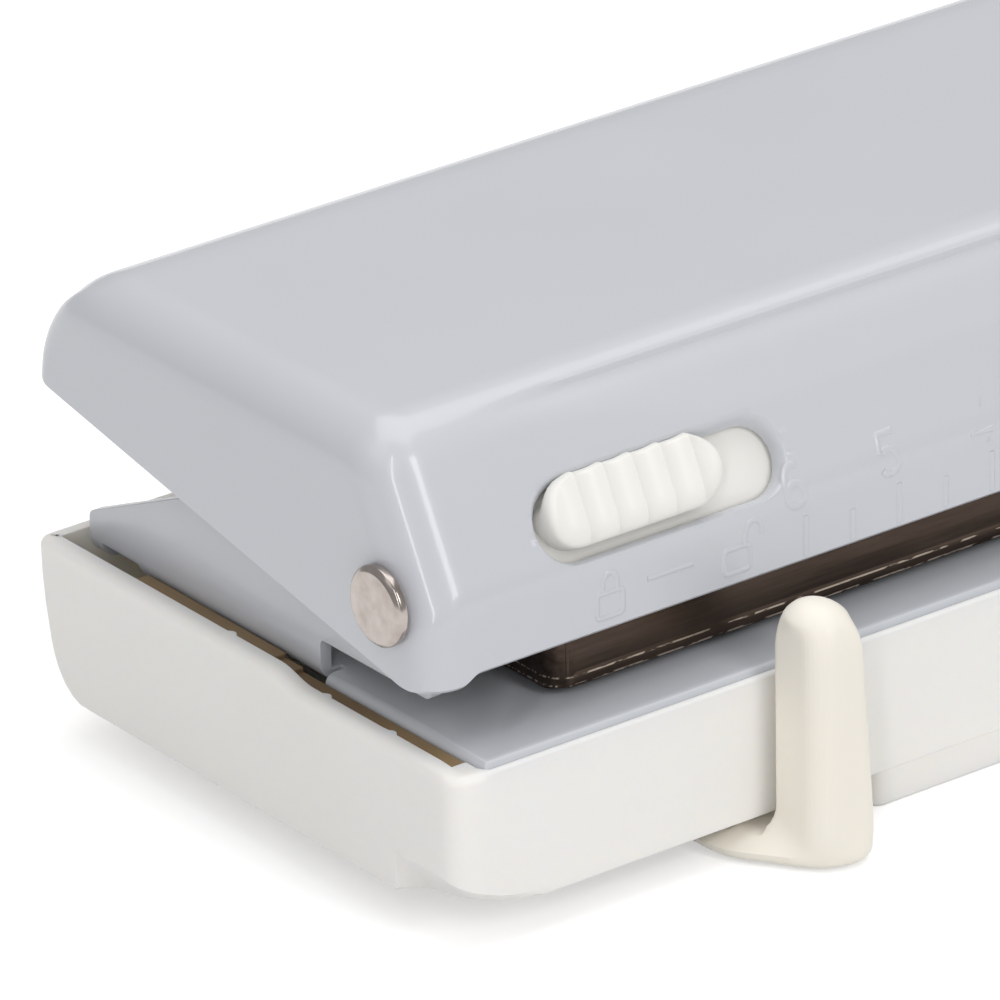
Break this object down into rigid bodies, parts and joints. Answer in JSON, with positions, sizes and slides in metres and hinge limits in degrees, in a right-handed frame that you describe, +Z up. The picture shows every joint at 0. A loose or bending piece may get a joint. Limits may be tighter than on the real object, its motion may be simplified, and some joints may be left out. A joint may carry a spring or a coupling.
{
  "type": "six-hole paper punch",
  "caption": "Desk punch for loose-leaf sheets: cream chip tray with a sliding paper guide, sheet-steel frame, sprung punch pins and a hinged grey handle with a lock slider.",
  "frame": {"origin": "middle of the outline, on the table", "axes": "+X along the row of holes, +Z up, -Y towards the side where the paper goes in"},
  "size_m": [0.202, 0.066, 0.0432],
  "materials": {
    "tray_cream": "satin",
    "guide_cream": "satin",
    "handle_grey": "gloss",
    "frame_grey": "satin",
    "block_black": "polished",
    "steel": "brushed",
    "nickel": "polished",
    "lock_white": "satin",
    "rubber_dark": "matte"
  },
  "bodies": {
    "base": {"chip_tray": "tray_cream", "rubber_feet": "rubber_dark"},
    "guide": {"paper_guide": "guide_cream"},
    "punch_frame": {"frame": "frame_grey", "punch_block": "block_black", "block_rivets": "steel", "pivot_rivet_left": "nickel", "pivot_rivet_right": "nickel", "return_spring_1": "steel", "return_spring_2": "steel", "return_spring_3": "steel", "return_spring_4": "steel", "return_spring_5": "steel", "return_spring_6": "steel"},
    "handle": {"handle_cover": "handle_grey", "handle_lever": "steel", "cover_screws": "steel", "lock_retainer": "steel", "retainer_screws": "steel"},
    "lock": {"lock_slider": "lock_white"},
    "pin_1": {"punch_pin_1": "steel", "pin_clip_1": "steel"},
    "pin_2": {"punch_pin_2": "steel", "pin_clip_2": "steel"},
    "pin_3": {"punch_pin_3": "steel", "pin_clip_3": "steel"},
    "pin_4": {"punch_pin_4": "steel", "pin_clip_4": "steel"},
    "pin_5": {"punch_pin_5": "steel", "pin_clip_5": "steel"},
    "pin_6": {"punch_pin_6": "steel", "pin_clip_6": "steel"}
  },
  "joints": [
    {"name": "tray_release", "type": "slide", "parent": "base", "child": "punch_frame", "axis": [0, 0, 1], "range_m": [0, 0.03]},
    {"name": "guide_slide", "type": "slide", "parent": "base", "child": "guide", "axis": [1, 0, 0], "range_m": [-0.022, 0.005]},
    {"name": "handle_press", "type": "hinge", "parent": "punch_frame", "child": "handle", "pos_m": [0, -0.0164, 0.0291], "axis": [-1, 0, 0], "range_deg": [0, 13.5], "stiffness_Nm_per_rad": 0.8, "springref_deg": -11.46},
    {"name": "lock_slide", "type": "slide", "parent": "handle", "child": "lock", "axis": [1, 0, 0], "range_m": [0, 0.006]},
    {"name": "pin_1_travel", "type": "slide", "parent": "punch_frame", "child": "pin_1", "axis": [0, 0, -1], "range_m": [0, 0.00203], "deforming": ["return_spring_1"]},
    {"name": "pin_2_travel", "type": "slide", "parent": "punch_frame", "child": "pin_2", "axis": [0, 0, -1], "range_m": [0, 0.00203], "deforming": ["return_spring_2"]},
    {"name": "pin_3_travel", "type": "slide", "parent": "punch_frame", "child": "pin_3", "axis": [0, 0, -1], "range_m": [0, 0.00203], "deforming": ["return_spring_3"]},
    {"name": "pin_4_travel", "type": "slide", "parent": "punch_frame", "child": "pin_4", "axis": [0, 0, -1], "range_m": [0, 0.00203], "deforming": ["return_spring_4"]},
    {"name": "pin_5_travel", "type": "slide", "parent": "punch_frame", "child": "pin_5", "axis": [0, 0, -1], "range_m": [0, 0.00203], "deforming": ["return_spring_5"]},
    {"name": "pin_6_travel", "type": "slide", "parent": "punch_frame", "child": "pin_6", "axis": [0, 0, -1], "range_m": [0, 0.00203], "deforming": ["return_spring_6"]}
  ],
  "couplings": [
    {"joint": "pin_1_travel", "follows": "handle_press", "m_per_rad": 0.0086},
    {"joint": "pin_2_travel", "follows": "handle_press", "m_per_rad": 0.0086},
    {"joint": "pin_3_travel", "follows": "handle_press", "m_per_rad": 0.0086},
    {"joint": "pin_4_travel", "follows": "handle_press", "m_per_rad": 0.0086},
    {"joint": "pin_5_travel", "follows": "handle_press", "m_per_rad": 0.0086},
    {"joint": "pin_6_travel", "follows": "handle_press", "m_per_rad": 0.0086}
  ]
}
